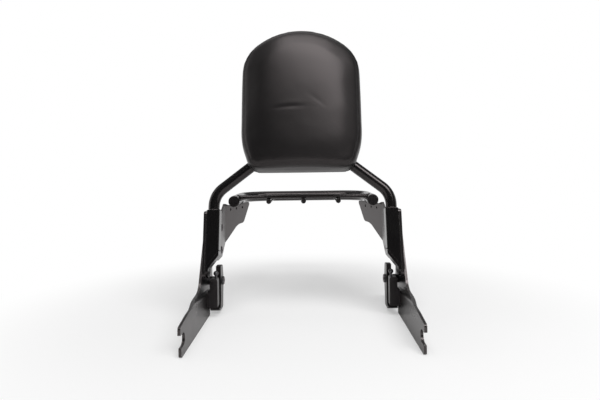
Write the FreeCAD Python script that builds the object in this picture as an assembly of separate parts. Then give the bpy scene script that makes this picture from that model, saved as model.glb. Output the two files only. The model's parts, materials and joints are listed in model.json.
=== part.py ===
import FreeCAD, Part
import math
import os
from FreeCAD import Vector as V

# Passenger backrest upright with a luggage rack for a motorbike.
# Millimetres. +X is the right-hand side, +Y is rearward, +Z is up.
# The origin lies midway between the side plates, on the axis of the two front docking notches.

# Driving dimensions: side plates
plate_t = 4.0               # thickness of a side plate
arm_in_x = 161.5            # inner face of a docking arm, from the centre plane
step_out = 5.0              # how far the upper part of a side plate steps outward
arm_bottom_z = -22.0        # lower edge of the docking arms
arm_tip_y = -14.0           # front end of the upper nub
lower_nub_y = -10.0         # front end of the lower nub
arm_tip_top_z = 20.0        # top of the arm at its tip
arm_crest_y = 26.0          # middle of the arm's bowed top edge
arm_crest_z = 25.2
arm_crest_r = 160.0
arm_root_z = 31.0           # top of the arm where it turns up
arm_root_y = 126.0          # corner between arm and upright part
upper_front_y = 186.0       # front corner of the plate's top
upper_top_z = 138.0         # top edge of the side plate
upper_rear_y = 284.0        # rear edge of the side plate
heel_y = 268.0              # rear end of the lower edge, on which the part stands
heel_top_z = 12.0
waist_y = 225.0             # rear edge's narrowest place, above the latch
waist_z = 44.0
waist_h = 26.0
haunch_z = 66.0             # where the rear edge has widened again
step_slope = 0.085          # fall of the step line per mm rearward
step_line_z = 28.7          # height of the step line at step_line_y
step_line_y = 96.0
step_bend_r = 2.5           # inner bend radius of the step
front_dock_r = 9.0          # half width of the open front notch
rear_dock_r = 12.0          # half width of the rear seat
rear_dock_y = 188.0
rear_dock_z = -1.0

# Driving dimensions: upright
lean_deg = 12.0             # backward lean of the upright
tube_d = 19.0
tube_wall = 2.0
leg_base_y = 135.4          # where the legs' leaned plane crosses the origin's height
leg_bottom_s = 92.0         # lengths named _s run along the lean
leg_corner_s = 187.4
leg_rise_deg = 38.0         # slope of the part that runs inward
neck_half_x = 70.0          # half distance of the legs behind the pad
top_s = 440.0
leg_bend_r = 38.0
top_bend_r = 45.0

# Driving dimensions: foot plates, sockets and straps
foot_t = 6.0
foot_bottom_z = 48.0
foot_top_z = 157.0
foot_front_y = 136.7        # front edge at the foot plate's bottom
foot_rear_y = 276.0
socket_wall = 2.0
socket_fit = 0.1
socket_top_s = 161.5
socket_mitre_s = 86.0
strap_t = 4.5
strap_w = 23.0
mitre_fall = 1.3            # fall of the mitre per mm outboard

# Driving dimensions: pad and its carriers
pad_w = 206.0
pad_low_s = 217.0
pad_high_s = 470.0
pad_dome_r = 136.0
pad_shoulder_r = 64.0
pad_hip_s = 268.0           # widest level, below which the sides draw in
pad_hip_r = 120.0
pad_foot_in = 17.0          # how far the lower corners are drawn in
pad_foot_r = 22.0
pad_t = 48.0
board_t = 8.0
board_inset = 9.0
carrier_t = 4.0
carrier_h = 26.0
carrier_low_s = 300.0
carrier_high_s = 390.0
pad_screw_half_x = 40.0
pad_screw_d = 6.0
pad_hole_clear = 0.3
pad_crown_r = 350.0         # radius of the pad's front across its width
pad_edge_r = 12.0

# Driving dimensions: rack
rack_tube_d = 22.2
rack_tube_wall = 2.0
rack_z = 162.7
rack_half_x = 138.0
rack_front_y = 306.0
rack_rear_y = 457.0
rack_bend_r = 56.0
cross_rod_d = 8.0
cross_rod_y = 331.0
cross_rod_rise = 6.5        # cross rod's centre above the tubes' centre
slat_d = 10.0
slat_pitch = 70.5
slat_front_over = 8.0       # how far a slat passes the cross rod
cap_lip_t = 2.5
cap_plug_len = 14.0

# Driving dimensions: rack brackets
bracket_t = 4.0
bracket_front_y = 222.0
bracket_fold_y = 309.0
bracket_rear_y = 408.0
bracket_cross_y = 368.0     # where a bracket's panel passes under its side tube
bracket_low_z = 60.0
bracket_brow_z = 136.0      # front end of the top edge
bracket_tail_z = 112.0      # lower corner of the panel's rear end
bracket_hole_d = 5.0
bracket_seat = 2.4          # how deep a bracket's top edge cups the rack tube

# Driving dimensions: rack bolts
bolt_d = 8.0
bolt_clear = 0.4
bolt_places = {"upper": (258.0, 117.0), "lower": (252.0, 76.0)}
washer_d = 16.0
washer_t = 1.6
head_d = 14.0
head_h = 4.4
nut_af = 13.0
nut_h = 6.5

# Driving dimensions: latch
pivot_y = 206.0
pivot_z = 30.0
pivot_d = 8.0
pivot_head_r = 7.5
pivot_head_h = 3.2
pivot_play = 0.05           # radial running clearance of the lever on its bush
lever_t = 3.5
lever_in_x = 145.0          # inboard face of the lever
lever_front = 14.0          # front edge of the lever, ahead of its pivot
tab_rise = 28.0             # top of the thumb tab above the pivot
tab_h = 11.0
tab_reach = 5.0             # how far the tab is turned out beyond the cheek
lip_reach = 3.5             # the same for the front lip below it
hook_gap = 1.0              # radial gap between the hook and the seated docking pin
hook_t = 3.5
bush_neck_d = 11.0
bush_d = 15.0
side_gap = 0.3              # gap beside the turning lever
spring_wire = 2.0
spring_turns = 1.75
spring_pitch = 2.4
spring_leg = 16.0
spring_sides = 12          # straight runs that draw one turn of the coil
block_in_x = 144.5
block_head_x = 157.5        # outboard side of the block's narrower head
block_y = 156.0
block_w = 15.0
block_bottom_z = -5.0
block_shoulder_z = 23.0
block_top_z = 44.0
post_d = 4.0
post_ball_r = 4.2
post_in = 3.5               # the post's axis from the block's inboard side
post_sunk = 5.5             # how deep the post sits in the block
post_top_z = 52.0
block_screw_d = 5.0
block_screw_rise = 4.5      # lower screw above the block's underside
block_screw_pitch = 10.0

# Worked out
lean = math.radians(lean_deg)
arm_out_x = arm_in_x + plate_t
plate_in_x = arm_in_x + step_out
plate_out_x = plate_in_x + plate_t
foot_out_x = plate_in_x
foot_in_x = foot_out_x - foot_t
leg_x = foot_in_x - tube_d / 2
tube_r = tube_d / 2
carrier_back_n = -tube_r    # lengths named _n run across the lean, rearward
carrier_front_n = carrier_back_n - carrier_t
pad_back_n = carrier_front_n
pad_front_n = pad_back_n - pad_t
rack_r = rack_tube_d / 2
bracket_out_x = foot_in_x
bracket_in_x = bracket_out_x - bracket_t
bracket_turn = math.atan2(bracket_out_x - rack_half_x, bracket_cross_y - bracket_fold_y)
bracket_fold = max(math.radians(5), bracket_turn)
spring_r = (bush_d + spring_wire) / 2 + side_gap
post_x = block_in_x + post_in

parts = {}


def rounded_wire(points, axes, closed=True):
    """Wire through corner points (a, b, radius) on the plane that axes maps to space."""
    corners = [(axes(a, b), r) for a, b, r in points]
    count = len(corners)
    ends = []
    for i, (p, r) in enumerate(corners):
        if not closed and i in (0, count - 1) or r <= 0:
            ends.append((p, None, p))
            continue
        back = (corners[i - 1][0] - p).normalize()
        ahead = (corners[(i + 1) % count][0] - p).normalize()
        half = back.getAngle(ahead) / 2
        reach = r / math.tan(half)
        middle = (back + ahead).normalize()
        centre = p + middle * (r / math.sin(half))
        ends.append((p + back * reach, centre - middle * r, p + ahead * reach))
    edges = []
    for i, (first, mid, last) in enumerate(ends):
        if mid is not None:
            edges.append(Part.Arc(first, mid, last).toShape())
        if i < count - 1 or closed:
            following = ends[(i + 1) % count][0]
            if last.distanceToPoint(following) > 1e-6:
                edges.append(Part.LineSegment(last, following).toShape())
    return Part.Wire(edges)


def slab_x(points, x0, x1):
    """Flat plate with a YZ outline between two X planes."""
    wire = rounded_wire(points, lambda y, z: V(x0, y, z))
    return Part.Face(wire).extrude(V(x1 - x0, 0, 0))


def slab_y(points, y0, y1):
    """Flat plate with an XZ outline between two Y planes."""
    wire = rounded_wire(points, lambda x, z: V(x, y0, z))
    return Part.Face(wire).extrude(V(0, y1 - y0, 0))


def slab_z(points, z0, z1):
    """Flat plate with an XY outline between two Z planes."""
    wire = rounded_wire(points, lambda x, y: V(x, y, z0))
    return Part.Face(wire).extrude(V(0, 0, z1 - z0))


def rod_x(x0, x1, y, z, r):
    return Part.makeCylinder(r, x1 - x0, V(x0, y, z), V(1, 0, 0))


def hex_x(x0, x1, y, z, across_flats):
    """Hexagonal prism along X."""
    r = across_flats / math.sqrt(3)
    angles = [math.radians(60 * i + 30) for i in range(6)]
    corners = [(y + r * math.cos(a), z + r * math.sin(a), 0) for a in angles]
    return slab_x(corners, x0, x1)


def pipe(wire, r):
    """Solid round bar along a wire of lines and tangent arcs."""
    start = wire.OrderedVertexes[0].Point
    first = wire.OrderedEdges[0]
    heading = first.tangentAt(first.FirstParameter)
    if first.valueAt(first.FirstParameter).distanceToPoint(start) > 1e-6:
        heading = first.tangentAt(first.LastParameter) * -1
    ring = Part.Wire(Part.Circle(start, heading, r).toShape())
    return wire.makePipeShell([ring], True, False)


def leaned(shape):
    """Turn a shape from the upright's own frame (x, n, s) into place."""
    placed = shape.copy()
    placed.rotate(V(0, 0, 0), V(1, 0, 0), -lean_deg)
    placed.translate(V(0, leg_base_y, 0))
    return placed


def both_sides(name, shape):
    """Keep a right-hand piece and its mirrored twin."""
    parts[name + "_right"] = shape
    parts[name + "_left"] = shape.mirror(V(0, 0, 0), V(1, 0, 0))


# Side plates
def step_z(y):
    return step_line_z - step_slope * (y - step_line_y)


def stepped_sheet():
    """Endless sheet whose upper part steps outward along the sloping step line."""
    reach = 500.0
    top_h = step_z(0) * math.cos(math.atan(step_slope))
    bottom_h = top_h - step_out
    shift = plate_t * math.tan(math.radians(22.5))
    outer_r = step_bend_r + plate_t
    section = [
        (arm_in_x, -reach, 0),
        (arm_in_x, bottom_h, outer_r),
        (plate_in_x, top_h, step_bend_r),
        (plate_in_x, reach, 0),
        (plate_out_x, reach, 0),
        (plate_out_x, top_h - shift, outer_r),
        (arm_out_x, bottom_h - shift, step_bend_r),
        (arm_out_x, -reach, 0),
    ]
    wire = rounded_wire(section, lambda x, h: V(x, -reach, h))
    sheet = Part.Face(wire).extrude(V(0, 2 * reach, 0))
    sheet.rotate(V(0, 0, 0), V(1, 0, 0), -math.degrees(math.atan(step_slope)))
    return sheet


def side_plate():
    notch = front_dock_r
    seat_front_y = rear_dock_y - rear_dock_r
    seat_rear_y = rear_dock_y + rear_dock_r
    seat_top_z = rear_dock_z + rear_dock_r
    outline = [
        (lower_nub_y, arm_bottom_z, 4),
        (seat_front_y, arm_bottom_z, 2),
        (seat_front_y, seat_top_z, rear_dock_r),
        (seat_rear_y, seat_top_z, rear_dock_r),
        (seat_rear_y, arm_bottom_z, 2),
        (heel_y, arm_bottom_z, 14),
        (heel_y, heel_top_z, 14),
        (waist_y, waist_z - waist_h / 2, 14),
        (waist_y, waist_z + waist_h / 2, 12),
        (upper_rear_y, haunch_z, 14),
        (upper_rear_y, upper_top_z, 16),
        (upper_front_y, upper_top_z, 18),
        (arm_root_y, arm_root_z, 28),
        (arm_crest_y, arm_crest_z, arm_crest_r),
        (arm_tip_y, arm_tip_top_z, 4),
        (arm_tip_y, notch, 1.5),
        (notch, notch, notch - 0.001),
        (notch, -notch, notch - 0.001),
        (lower_nub_y, -notch, 1.5),
    ]
    blank = slab_x(outline, arm_in_x - 10, plate_out_x + 10)
    plate = blank.common(stepped_sheet())
    for y, z in bolt_places.values():
        plate = plate.cut(rod_x(arm_in_x, plate_out_x + 1, y, z, bolt_d / 2 + bolt_clear))
    plate = plate.cut(rod_x(arm_in_x, plate_out_x + 1, pivot_y, pivot_z, pivot_d / 2 + pivot_play))
    for z in block_screw_heights():
        plate = plate.cut(rod_x(arm_in_x - 1, plate_out_x + 1, block_middle_y(), z, screw_hole_r()))
    return plate


def block_middle_y():
    return block_y + block_w / 2


def block_screw_heights():
    low = block_bottom_z + block_screw_rise
    return [low, low + block_screw_pitch]


def screw_hole_r():
    return block_screw_d / 2 + 0.25


# Foot plates, tube sockets and end straps
def foot_plate():
    rise = foot_top_z - foot_bottom_z
    top_front_y = foot_front_y + rise * math.tan(lean)
    outline = [
        (foot_front_y, foot_bottom_z, 7),
        (foot_front_y + 24, foot_bottom_z, 10),
        (foot_front_y + 62, foot_bottom_z + 14, 20),
        (foot_rear_y, foot_bottom_z + 14, 12),
        (foot_rear_y, foot_top_z - 18, 14),
        (top_front_y + 26, foot_top_z, 10),
        (top_front_y, foot_top_z, 5),
    ]
    plate = slab_x(outline, foot_in_x, foot_out_x)
    for y, z in bolt_places.values():
        plate = plate.cut(rod_x(foot_in_x - 1, foot_out_x + 1, y, z, bolt_d / 2 + bolt_clear))
    return plate


def strap_path():
    """Mitre of the strap's outer face: start and end X, and the height of the knee."""
    start_x = leg_x - tube_r - socket_fit - socket_wall
    end_x = foot_in_x - strap_t
    return start_x, end_x, socket_mitre_s - (end_x - start_x) * mitre_fall


def mitre_s_at(x):
    """Height of the strap's inner face, on which the socket is cut off."""
    start_x = strap_path()[0]
    return socket_mitre_s - (x - start_x) * mitre_fall + strap_t * math.hypot(1, mitre_fall)


def tube_socket():
    inner = tube_r + socket_fit
    outer = inner + socket_wall
    start_x, end_x, knee_s = strap_path()
    channel = slab_z([
        (foot_in_x, -outer, 0),
        (start_x, -outer, 3),
        (start_x, outer, 3),
        (foot_in_x, outer, 0),
        (foot_in_x, inner, 0),
        (start_x + socket_wall, inner, 1),
        (start_x + socket_wall, -inner, 1),
        (foot_in_x, -inner, 0),
    ], knee_s - 30, socket_top_s)
    below = slab_y([
        (start_x - 5, knee_s - 40, 0),
        (foot_in_x + 5, knee_s - 40, 0),
        (foot_in_x + 5, mitre_s_at(foot_in_x + 5), 0),
        (start_x - 5, mitre_s_at(start_x - 5), 0),
    ], -outer - 5, outer + 5)
    return leaned(channel.cut(below))


def end_strap():
    start_x, end_x, knee_s = strap_path()
    tail_s = foot_bottom_z / math.cos(lean) + 1
    section = [
        (start_x, socket_mitre_s, 0),
        (end_x, knee_s, 3),
        (end_x, tail_s, 0),
        (foot_in_x, tail_s, 0),
        (foot_in_x, mitre_s_at(foot_in_x), 0),
        (start_x, mitre_s_at(start_x), 0),
    ]
    strap = slab_y(section, -strap_w / 2, strap_w / 2)
    lower_end = slab_x([
        (-strap_w / 2, tail_s, strap_w / 2 - 0.5),
        (strap_w / 2, tail_s, strap_w / 2 - 0.5),
        (strap_w / 2, socket_mitre_s + 20, 0),
        (-strap_w / 2, socket_mitre_s + 20, 0),
    ], start_x - 10, foot_in_x + 1)
    return leaned(strap.common(lower_end))


# Upright tube
def upright_tube():
    rise = (leg_x - neck_half_x) * math.tan(math.radians(leg_rise_deg))
    neck_s = leg_corner_s + rise
    route = [
        (leg_x, leg_bottom_s, 0),
        (leg_x, leg_corner_s, leg_bend_r),
        (neck_half_x, neck_s, leg_bend_r),
        (neck_half_x, top_s, top_bend_r),
        (-neck_half_x, top_s, top_bend_r),
        (-neck_half_x, neck_s, leg_bend_r),
        (-leg_x, leg_corner_s, leg_bend_r),
        (-leg_x, leg_bottom_s, 0),
    ]
    path = rounded_wire(route, lambda x, s: V(x, 0, s), closed=False)
    return leaned(pipe(path, tube_r).cut(pipe(path, tube_r - tube_wall)))


# Pad, its board, carriers and screws
def pad_outline(inset, n):
    """Pad outline at depth n, drawn in at the bottom; the dome's and shoulders' arcs meet at the slope."""
    half = pad_w / 2
    slope = math.asin((half - pad_shoulder_r) / (pad_dome_r - pad_shoulder_r))
    apex_s = pad_high_s + pad_dome_r * (1 / math.cos(slope) - 1)
    side_s = apex_s - half * math.tan(slope)
    corners = [
        (-half + pad_foot_in, pad_low_s, pad_foot_r),
        (half - pad_foot_in, pad_low_s, pad_foot_r),
        (half, pad_hip_s, pad_hip_r),
        (half, side_s, pad_shoulder_r),
        (0, apex_s, pad_dome_r),
        (-half, side_s, pad_shoulder_r),
        (-half, pad_hip_s, pad_hip_r),
    ]
    wire = rounded_wire(corners, lambda x, s: V(x, n, s))
    return wire.makeOffset2D(-inset) if inset > 0 else wire


def pad_slab(inset, n0, n1):
    return Part.Face(pad_outline(inset, n0)).extrude(V(0, n1 - n0, 0))


def backrest_pad():
    height = pad_high_s - pad_low_s
    block = pad_slab(0, pad_front_n, pad_back_n)
    crown_foot = V(0, pad_front_n + pad_crown_r, pad_low_s - height / 2)
    pad = block.common(Part.makeCylinder(pad_crown_r, 2 * height, crown_foot, V(0, 0, 1)))
    front = min(pad.Faces, key=lambda face: face.CenterOfMass.y)
    pad = pad.makeFillet(pad_edge_r, front.Edges)
    return leaned(pad.cut(pad_slab(board_inset - 0.3, pad_back_n - board_t - 0.3, pad_back_n + 1)))


def pad_board():
    board = pad_slab(board_inset, pad_back_n - board_t, pad_back_n)
    for s in (carrier_low_s, carrier_high_s):
        for x in (-pad_screw_half_x, pad_screw_half_x):
            start = V(x, pad_back_n + 1, s)
            board = board.cut(Part.makeCylinder(pad_screw_d / 2 + 0.05, board_t + 2, start, V(0, -1, 0)))
    return leaned(board)


def pad_carrier(s):
    half = neck_half_x + tube_r
    strip = slab_y([
        (-half, s - carrier_h / 2, 6),
        (half, s - carrier_h / 2, 6),
        (half, s + carrier_h / 2, 6),
        (-half, s + carrier_h / 2, 6),
    ], pad_back_n, carrier_back_n)
    for x in (-pad_screw_half_x, pad_screw_half_x):
        hole_r = pad_screw_d / 2 + pad_hole_clear
        strip = strip.cut(Part.makeCylinder(hole_r, 20, V(x, 0, s), V(0, -1, 0)))
    return leaned(strip)


def pad_screw(x, s):
    """Pan-head screw from behind, through the carrier into the board."""
    head_h_small = 3.6
    start = V(x, carrier_back_n, s)
    head = Part.makeCylinder(pad_screw_d, head_h_small, start, V(0, 1, 0))
    rim = [e for e in head.Edges if abs(e.BoundBox.YMin - carrier_back_n - head_h_small) < 1e-6]
    head = head.makeChamfer(1.5, [rim[0]])
    length = carrier_back_n - pad_back_n + board_t - 0.5
    shank = Part.makeCylinder(pad_screw_d / 2, length, start, V(0, -1, 0))
    recess = Part.makeCylinder(1.8, 2.2, V(x, carrier_back_n + head_h_small + 0.2, s), V(0, -1, 0))
    return leaned(head.fuse(shank).removeSplitter().cut(recess))


# Rack
def rack_path():
    route = [
        (rack_half_x, rack_front_y, 0),
        (rack_half_x, rack_rear_y, rack_bend_r),
        (-rack_half_x, rack_rear_y, rack_bend_r),
        (-rack_half_x, rack_front_y, 0),
    ]
    return rounded_wire(route, lambda x, y: V(x, y, rack_z), closed=False)


def rack_loop():
    return pipe(rack_path(), rack_r).cut(pipe(rack_path(), rack_r - rack_tube_wall))


def rack_end_cap():
    """Domed plug in the open front end of a side tube."""
    inner = rack_r - rack_tube_wall - 0.05
    lip = Part.makeCylinder(rack_r, cap_lip_t, V(rack_half_x, rack_front_y - cap_lip_t, rack_z), V(0, 1, 0))
    rim = [e for e in lip.Edges if abs(e.BoundBox.YMax - rack_front_y + cap_lip_t) < 1e-6]
    lip = lip.makeChamfer(1.2, [rim[0]])
    plug = Part.makeCylinder(inner, cap_plug_len, V(rack_half_x, rack_front_y, rack_z), V(0, 1, 0))
    return lip.fuse(plug).removeSplitter()


def rack_cross_rod():
    """Straight rod between the side tubes, fitted to their inner faces."""
    rod = rod_x(-rack_half_x, rack_half_x, cross_rod_y, rack_z + cross_rod_rise, cross_rod_d / 2)
    return rod.cut(pipe(rack_path(), rack_r))


def rack_slat(x):
    """Round slat under the cross rod, running back to the rear tube."""
    z = rack_z + cross_rod_rise - (cross_rod_d + slat_d) / 2
    front_y = cross_rod_y - slat_front_over
    slat = Part.makeCylinder(slat_d / 2, rack_rear_y - front_y, V(x, front_y, z), V(0, 1, 0))
    nose = [e for e in slat.Edges if e.BoundBox.YMax < front_y + 1e-6]
    slat = slat.makeChamfer(1.0, [nose[0]])
    return slat.cut(pipe(rack_path(), rack_r))


def bracket_x_at(y):
    """Inboard face of the turned-in panel at a given Y."""
    return bracket_in_x - math.tan(bracket_fold) * (y - bracket_fold_y)


def rack_bracket():
    fold = bracket_fold
    run = (bracket_rear_y - bracket_fold_y + 20) / math.cos(fold)
    shift = bracket_t * math.tan(fold / 2)
    end_out = V(bracket_out_x - run * math.sin(fold), bracket_fold_y + run * math.cos(fold), 0)
    end_in = end_out - V(bracket_t * math.cos(fold), bracket_t * math.sin(fold), 0)
    low_z = foot_bottom_z
    high_z = rack_z + 5
    folded = slab_z([
        (bracket_out_x, bracket_front_y - 10, 0),
        (bracket_out_x, bracket_fold_y, 3 + bracket_t),
        (end_out.x, end_out.y, 0),
        (end_in.x, end_in.y, 0),
        (bracket_in_x, bracket_fold_y - shift, 3),
        (bracket_in_x, bracket_front_y - 10, 0),
    ], low_z, high_z)
    seat_z = rack_z - rack_r + bracket_seat
    outline = [
        (bracket_front_y, bracket_low_z, 12),
        (bracket_front_y, bracket_brow_z, 8),
        (bracket_fold_y - 34, bracket_brow_z + 7, 10),
        (bracket_fold_y, bracket_brow_z + 22, 3),
        (bracket_fold_y + 14, seat_z, 4),
        (bracket_rear_y, seat_z, 4),
        (bracket_rear_y - 28, bracket_tail_z, 12),
        (bracket_rear_y - 52, bracket_tail_z - 1, 40),
        (bracket_fold_y + 8, (bracket_low_z + bracket_tail_z) / 2, 60),
        (bracket_fold_y - 37, bracket_low_z, 14),
    ]
    bracket = folded.common(slab_x(outline, rack_half_x / 2, bracket_out_x + 10))
    bracket = bracket.cut(pipe(rack_path(), rack_r))
    for y, z in bolt_places.values():
        bracket = bracket.cut(rod_x(bracket_in_x - 1, bracket_out_x + 1, y, z, bolt_d / 2 + bolt_clear))
    across = V(math.cos(fold), math.sin(fold), 0)
    for y in (bracket_fold_y + 20, bracket_fold_y + 42, bracket_fold_y + 66):
        start = V(bracket_x_at(y), y, seat_z - 9) - across * 5
        bracket = bracket.cut(Part.makeCylinder(bracket_hole_d / 2, 15, start, across))
    return bracket


# Rack bolts with washers and nuts
def rack_bolt(y, z):
    """Button-head bolt from inside, through bracket, foot plate and side plate."""
    head_x = bracket_in_x - head_h
    head = rod_x(head_x, bracket_in_x, y, z, head_d / 2)
    rim = [e for e in head.Edges if e.BoundBox.XMax < head_x + 1e-6]
    head = head.makeChamfer(2.0, [rim[0]])
    head = head.cut(hex_x(head_x - 1, head_x + 2.6, y, z, 5.0))
    shank = rod_x(bracket_in_x, plate_out_x + washer_t + nut_h + 1, y, z, bolt_d / 2)
    return head.fuse(shank).removeSplitter()


def rack_washer(y, z):
    ring = rod_x(plate_out_x, plate_out_x + washer_t, y, z, washer_d / 2)
    return ring.cut(rod_x(plate_out_x - 1, plate_out_x + washer_t + 1, y, z, bolt_d / 2 + 0.2))


def rack_nut(y, z):
    seat_x = plate_out_x + washer_t
    nut = hex_x(seat_x, seat_x + nut_h, y, z, nut_af)
    round_off = Part.makeCone(nut_af / 2 + 3 * nut_h, nut_af / 2, 3 * nut_h,
                              V(seat_x - 2 * nut_h, y, z), V(1, 0, 0))
    nut = nut.common(round_off)
    return nut.cut(rod_x(seat_x - 1, seat_x + nut_h + 1, y, z, bolt_d / 2 + 0.02))


# Latch that closes the rear seat from below
def latch_lever():
    """Folded lever: cheek, thumb tab and front lip turned outboard, hook turned outboard below."""
    cheek_x = lever_in_x + lever_t
    front_y = pivot_y - lever_front
    hook_in = rear_dock_r + hook_gap
    hook_out = hook_in + hook_t
    tab_top_z = pivot_z + tab_rise
    low_z = rear_dock_z - hook_out
    outline = [
        (front_y, tab_top_z, 0),
        (pivot_y + 6, tab_top_z, 8),
        (pivot_y + 12, pivot_z, 12),
        (pivot_y + 5, low_z, 4),
        (rear_dock_y - 3, low_z, 3),
        (front_y, rear_dock_z + 2, 10),
    ]
    cheek = slab_x(outline, lever_in_x, cheek_x)
    tab = slab_z([
        (lever_in_x, front_y, 0),
        (cheek_x + tab_reach, front_y, 0),
        (cheek_x + tab_reach, pivot_y + 1, 3),
        (lever_in_x, pivot_y + 1, 0),
    ], tab_top_z - lever_t, tab_top_z)
    lip = slab_y([
        (lever_in_x, pivot_z - lever_front, 0),
        (cheek_x + lip_reach, pivot_z - lever_front, 2),
        (cheek_x + lip_reach, tab_top_z - tab_h, 1),
        (cheek_x + tab_reach, tab_top_z - tab_h, 1.5),
        (cheek_x + tab_reach, tab_top_z, 0),
        (lever_in_x, tab_top_z, 0),
    ], front_y, front_y + lever_t)
    ring = rod_x(lever_in_x, arm_in_x - side_gap, rear_dock_y, rear_dock_z, hook_out)
    ring = ring.cut(rod_x(lever_in_x - 1, arm_in_x, rear_dock_y, rear_dock_z, hook_in))
    reach = 40
    wedge = slab_x([
        (rear_dock_y, rear_dock_z, 0),
        (rear_dock_y - reach, rear_dock_z - reach, 0),
        (rear_dock_y, rear_dock_z - 2 * reach, 0),
        (rear_dock_y + reach, rear_dock_z - 0.84 * reach, 0),
    ], lever_in_x, arm_in_x)
    hook = ring.common(wedge)
    lever = cheek.multiFuse([tab, lip, hook]).removeSplitter()
    return lever.cut(rod_x(lever_in_x - 1, cheek_x + 1, pivot_y, pivot_z, bush_neck_d / 2 + pivot_play))


def latch_bush():
    """Stepped bush: its neck carries the lever, its body spaces the lever from the plate."""
    body = rod_x(lever_in_x + lever_t + side_gap, plate_in_x, pivot_y, pivot_z, bush_d / 2)
    neck = rod_x(lever_in_x - side_gap, plate_in_x, pivot_y, pivot_z, bush_neck_d / 2)
    bush = body.fuse(neck).removeSplitter()
    return bush.cut(rod_x(lever_in_x - 2, plate_in_x + 1, pivot_y, pivot_z, pivot_d / 2 + 0.02))


def latch_pivot_bolt():
    seat_x = lever_in_x - side_gap
    head_x = seat_x - pivot_head_h
    head = rod_x(head_x, seat_x, pivot_y, pivot_z, pivot_head_r)
    rim = [e for e in head.Edges if e.BoundBox.XMax < head_x + 1e-6]
    head = head.makeChamfer(1.2, [rim[0]])
    head = head.cut(hex_x(head_x - 1, seat_x - 1.2, pivot_y, pivot_z, 5.0))
    shank = rod_x(seat_x, plate_out_x + nut_h + 1, pivot_y, pivot_z, pivot_d / 2)
    return head.fuse(shank).removeSplitter()


def latch_pivot_nut():
    nut = hex_x(plate_out_x, plate_out_x + nut_h, pivot_y, pivot_z, nut_af)
    return nut.cut(rod_x(plate_out_x - 1, plate_out_x + nut_h + 1, pivot_y, pivot_z, pivot_d / 2 + 0.02))


def spring_point(turns):
    """Point on the spring's centre line after a number of turns from its front, on the lever's side."""
    angle = 2 * math.pi * turns
    x = lever_in_x + lever_t + side_gap + spring_wire + spring_pitch * turns
    return V(x, pivot_y - spring_r * math.cos(angle), pivot_z - spring_r * math.sin(angle))


def latch_spring():
    """Torsion spring round the bush: a short leg up behind the lever's lip, a long one into the block."""
    steps = round(spring_turns * spring_sides)
    coil = [spring_point(spring_turns * i / steps) for i in range(steps + 1)]
    short_end = coil[0] + V(0, 0, spring_leg)
    long_end = coil[-1] - V(0, pivot_y - block_middle_y() + post_d, 0)
    line = Part.makePolygon([short_end] + coil + [long_end])
    ring = Part.Wire(Part.Circle(short_end, V(0, 0, 1), spring_wire / 2).toShape())
    mitred = 1
    return line.makePipeShell([ring], True, False, mitred)


def latch_block():
    """Moulded block on the arm ahead of the rear seat; its head is bored for the spring's long leg."""
    block = slab_y([
        (arm_in_x, block_bottom_z, 0),
        (block_in_x, block_bottom_z, 3),
        (block_in_x, block_top_z, 4),
        (block_head_x, block_top_z, 4),
        (block_head_x, block_shoulder_z, 1.5),
        (arm_in_x, block_shoulder_z, 0),
    ], block_y, block_y + block_w)
    for z in block_screw_heights():
        block = block.cut(rod_x(block_in_x + 5, plate_out_x, block_middle_y(), z, block_screw_d / 2 + 0.02))
    base = V(post_x, block_middle_y(), block_top_z - post_sunk - 0.1)
    bore = Part.makeCylinder(post_d / 2 + 0.02, 2 * post_sunk, base, V(0, 0, 1))
    leg = spring_point(spring_turns)
    leg_bore = Part.makeCylinder(spring_wire / 2 + 0.1, 2 * block_w, V(leg.x, block_y - 1, leg.z), V(0, 1, 0))
    return block.cut(bore).cut(leg_bore)


def latch_post():
    """Ball-headed finger post on the block, towards which the lever's tab is drawn to open it."""
    base = V(post_x, block_middle_y(), block_top_z - post_sunk)
    stem = Part.makeCylinder(post_d / 2, post_top_z - base.z, base, V(0, 0, 1))
    ball = Part.makeSphere(post_ball_r, V(post_x, block_middle_y(), post_top_z))
    return stem.fuse(ball).removeSplitter()


def block_screws():
    """Two screws from outside, through the side plate into the block."""
    solids = []
    head_end_x = arm_out_x + 2.6
    for z in block_screw_heights():
        head = rod_x(arm_out_x, head_end_x, block_middle_y(), z, 0.8 * block_screw_d)
        rim = [e for e in head.Edges if e.BoundBox.XMin > head_end_x - 1e-6]
        head = head.makeChamfer(1.2, [rim[0]])
        shank = rod_x(block_in_x + 5.5, arm_out_x, block_middle_y(), z, block_screw_d / 2)
        solids.append(head.fuse(shank).removeSplitter())
    return Part.makeCompound(solids)


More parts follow.
